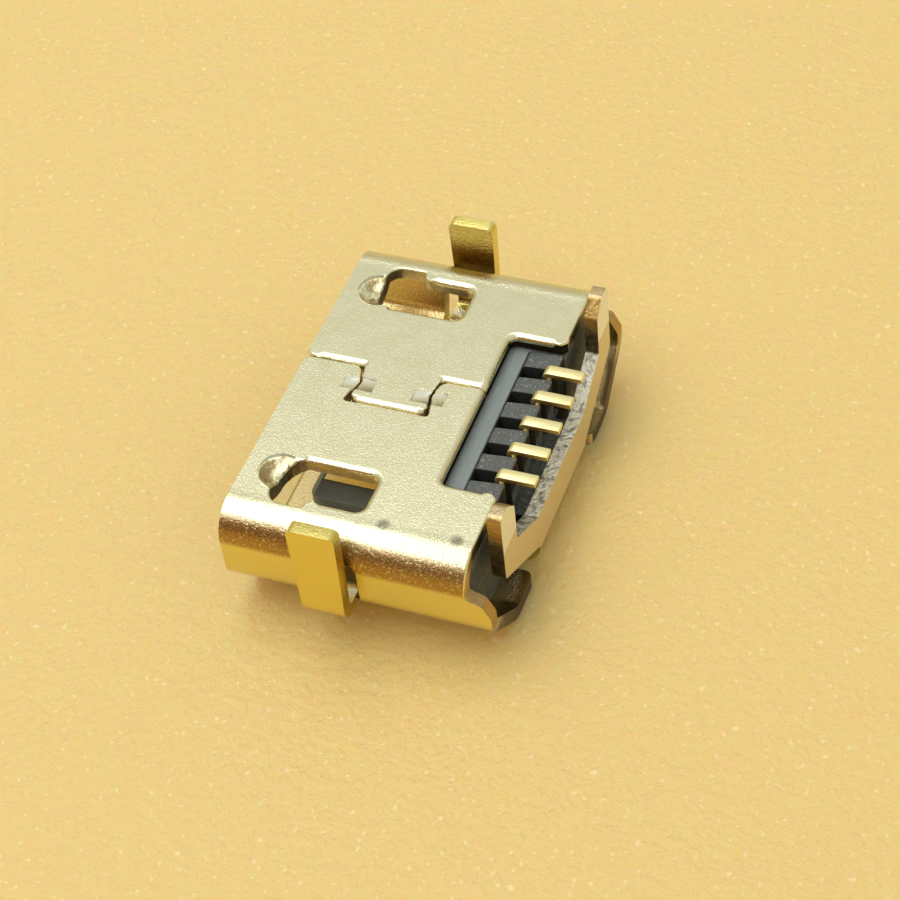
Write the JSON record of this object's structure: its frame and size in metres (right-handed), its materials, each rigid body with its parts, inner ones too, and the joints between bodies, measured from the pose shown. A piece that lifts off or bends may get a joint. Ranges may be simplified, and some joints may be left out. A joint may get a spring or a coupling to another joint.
{
  "type": "micro usb socket",
  "caption": "Board-mounted data and charging socket: a folded sheet-metal shell with a dovetail seam and side legs round a moulded tongue with contacts and solder feet",
  "frame": {"origin": "on the plane of the narrow face, under the middle of the bounding box", "axes": "+X along the long side of the mouth, +Y from the mouth to the solder feet at the rear, +Z from the narrow face up to the board face, so the socket lies upside down as in the picture"},
  "size_m": [0.0082, 0.005, 0.003],
  "materials": {
    "shell_metal": "nickel-plated sheet, satin to bright",
    "housing_plastic": "dark grey glass-filled moulding, matt",
    "contact_metal": "thin gold plate, bright"
  },
  "bodies": {
    "root": {"shell": "shell_metal", "housing": "housing_plastic", "contact_1": "contact_metal", "contact_2": "contact_metal", "contact_3": "contact_metal", "contact_4": "contact_metal", "contact_5": "contact_metal"}
  },
  "joints": []
}
